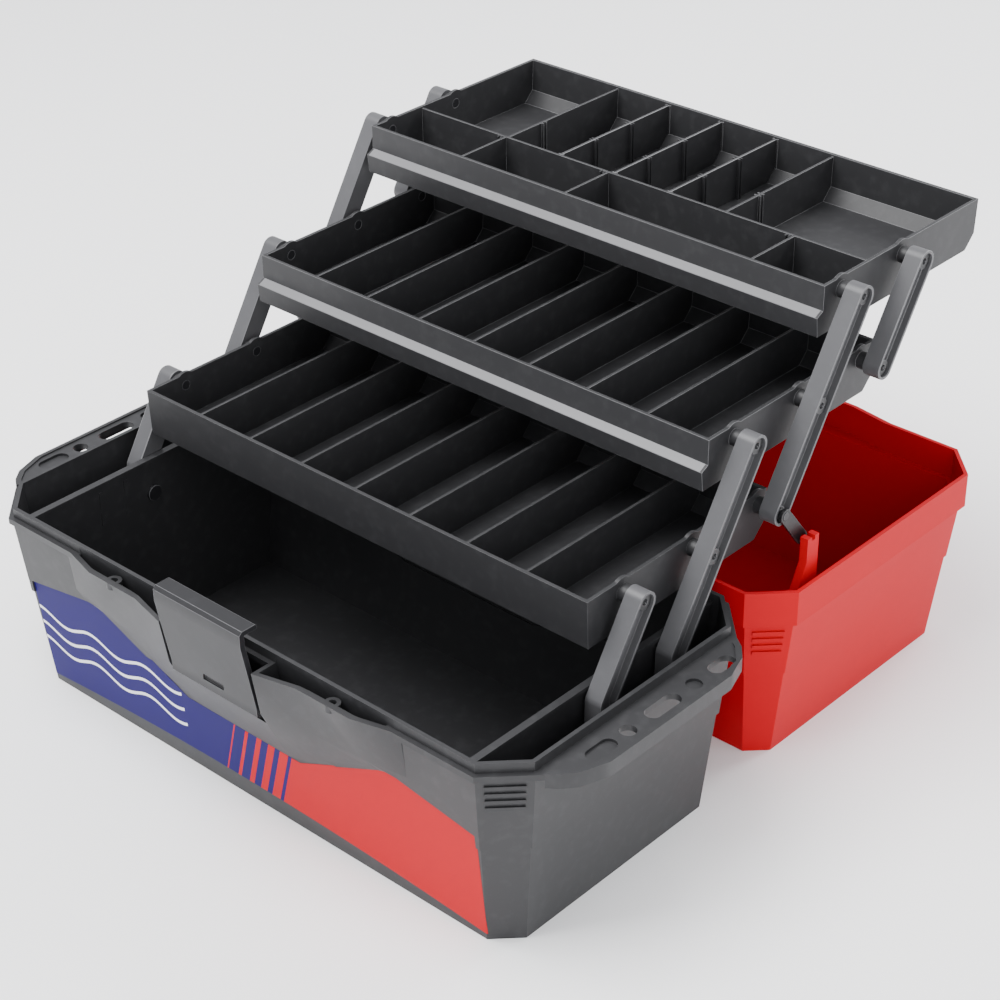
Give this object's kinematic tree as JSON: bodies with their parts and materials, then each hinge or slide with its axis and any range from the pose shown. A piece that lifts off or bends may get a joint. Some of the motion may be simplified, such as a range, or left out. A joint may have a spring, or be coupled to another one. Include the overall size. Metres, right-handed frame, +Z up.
{
  "type": "cantilever tackle box",
  "caption": "Opened cantilever tackle box: a grey tub with end wings and a front latch, stepped divided trays on swing arms, and a hinged red lid lying open behind.",
  "frame": {"origin": "centre of the tub's underside, on the floor it stands on", "axes": "+X along the box's length to the right seen from the latch, +Y from the latch towards the opened lid, +Z up"},
  "size_m": [0.439, 0.4472, 0.2654],
  "materials": {
    "tub_plastic": "fine-grained satin, dark grey",
    "label_print": "printed label, blue and red fields",
    "latch_plastic": "satin, dark grey",
    "lid_plastic": "satin red",
    "handle_plastic": "satin, dark grey",
    "hinge_steel": "bright wire",
    "link_plastic": "satin black",
    "arm_plastic": "satin, dark grey",
    "tray_plastic": "satin, dark grey",
    "divider_plastic": "satin, dark grey",
    "pin_plastic": "satin, dark grey"
  },
  "bodies": {
    "base": {"base_shell": "tub_plastic", "front_label": "label_print", "latch_pin": "hinge_steel", "base_pin_1_right": "pin_plastic", "base_pin_1_left": "pin_plastic", "base_pin_2_right": "pin_plastic", "base_pin_2_left": "pin_plastic", "hinge_pin_right": "hinge_steel", "hinge_pin_left": "hinge_steel"},
    "lid": {"lid_shell": "lid_plastic"},
    "handle": {"carry_handle": "handle_plastic"},
    "latch": {"front_latch": "latch_plastic"},
    "lower_tray": {"lower_tray": "tray_plastic", "lower_pin_1_right": "pin_plastic", "lower_pin_1_left": "pin_plastic", "lower_pin_2_right": "pin_plastic", "lower_pin_2_left": "pin_plastic", "lower_pin_3_right": "pin_plastic", "lower_pin_3_left": "pin_plastic"},
    "middle_tray": {"middle_tray": "tray_plastic", "middle_pin_1_right": "pin_plastic", "middle_pin_1_left": "pin_plastic", "middle_pin_2_right": "pin_plastic", "middle_pin_2_left": "pin_plastic", "middle_pin_3_right": "pin_plastic", "middle_pin_3_left": "pin_plastic"},
    "upper_tray": {"upper_tray": "tray_plastic", "upper_pin_1_right": "pin_plastic", "upper_pin_1_left": "pin_plastic", "upper_pin_2_right": "pin_plastic", "upper_pin_2_left": "pin_plastic", "upper_divider_1": "divider_plastic", "upper_divider_2": "divider_plastic", "upper_divider_3": "divider_plastic"},
    "lid_links": {"lid_link_right": "link_plastic", "lid_link_left": "link_plastic"},
    "arms_a": {"arm_a_right": "arm_plastic", "arm_a_left": "arm_plastic"},
    "arms_b": {"arm_b_right": "arm_plastic", "arm_b_left": "arm_plastic"},
    "arms_c": {"arm_c_right": "arm_plastic", "arm_c_left": "arm_plastic"},
    "arms_d": {"arm_d_right": "arm_plastic", "arm_d_left": "arm_plastic"}
  },
  "joints": [
    {"name": "lid_hinge", "type": "hinge", "parent": "base", "child": "lid", "pos_m": [0, 0.1072, 0.115], "axis": [1, 0, 0], "range_deg": [0, 146]},
    {"name": "latch_hinge", "type": "hinge", "parent": "base", "child": "latch", "pos_m": [0, -0.1032, 0.0855], "axis": [1, 0, 0], "range_deg": [0, 110]},
    {"name": "handle_hinge", "type": "hinge", "parent": "lid", "child": "handle", "pos_m": [0, 0.2037, 0.0037], "axis": [-1, 0, 0], "range_deg": [0, 90]},
    {"name": "front_arm_swing", "type": "hinge", "parent": "base", "child": "arms_a", "pos_m": [0, -0.004, 0.0932], "axis": [1, 0, 0], "range_deg": [0, 91.51]},
    {"name": "rear_arm_swing", "type": "hinge", "parent": "base", "child": "arms_b", "pos_m": [0, 0.052, 0.0932], "axis": [1, 0, 0], "range_deg": [0, 91.51]},
    {"name": "lower_tray_level", "type": "hinge", "parent": "arms_a", "child": "lower_tray", "pos_m": [0, 0.025, 0.1539], "axis": [1, 0, 0], "range_deg": [-91.51, 0]},
    {"name": "middle_tray_level", "type": "hinge", "parent": "arms_b", "child": "middle_tray", "pos_m": [0, 0.1133, 0.2054], "axis": [1, 0, 0], "range_deg": [-91.51, 0]},
    {"name": "upper_front_arm_swing", "type": "hinge", "parent": "lower_tray", "child": "arms_c", "pos_m": [0, 0.137, 0.1539], "axis": [1, 0, 0], "range_deg": [0, 91.51]},
    {"name": "upper_rear_arm_swing", "type": "hinge", "parent": "middle_tray", "child": "arms_d", "pos_m": [0, 0.2253, 0.2054], "axis": [1, 0, 0], "range_deg": [0, 91.51]},
    {"name": "upper_tray_level", "type": "hinge", "parent": "arms_c", "child": "upper_tray", "pos_m": [0, 0.2016, 0.2569], "axis": [1, 0, 0], "range_deg": [-91.51, 0]},
    {"name": "lid_link_swing", "type": "hinge", "parent": "lower_tray", "child": "lid_links", "pos_m": [0, 0.137, 0.1539], "axis": [1, 0, 0], "range_deg": [-9.41, 0]}
  ],
  "couplings": [
    {"joint": "front_arm_swing", "follows": "lid_hinge", "ratio": 0.62671},
    {"joint": "rear_arm_swing", "follows": "lid_hinge", "ratio": 0.62671},
    {"joint": "lower_tray_level", "follows": "lid_hinge", "ratio": -0.62671},
    {"joint": "middle_tray_level", "follows": "lid_hinge", "ratio": -0.62671},
    {"joint": "upper_front_arm_swing", "follows": "lid_hinge", "ratio": 0.62671},
    {"joint": "upper_rear_arm_swing", "follows": "lid_hinge", "ratio": 0.62671},
    {"joint": "upper_tray_level", "follows": "lid_hinge", "ratio": -0.62671},
    {"joint": "lid_link_swing", "follows": "lid_hinge", "ratio": -0.064384}
  ]
}
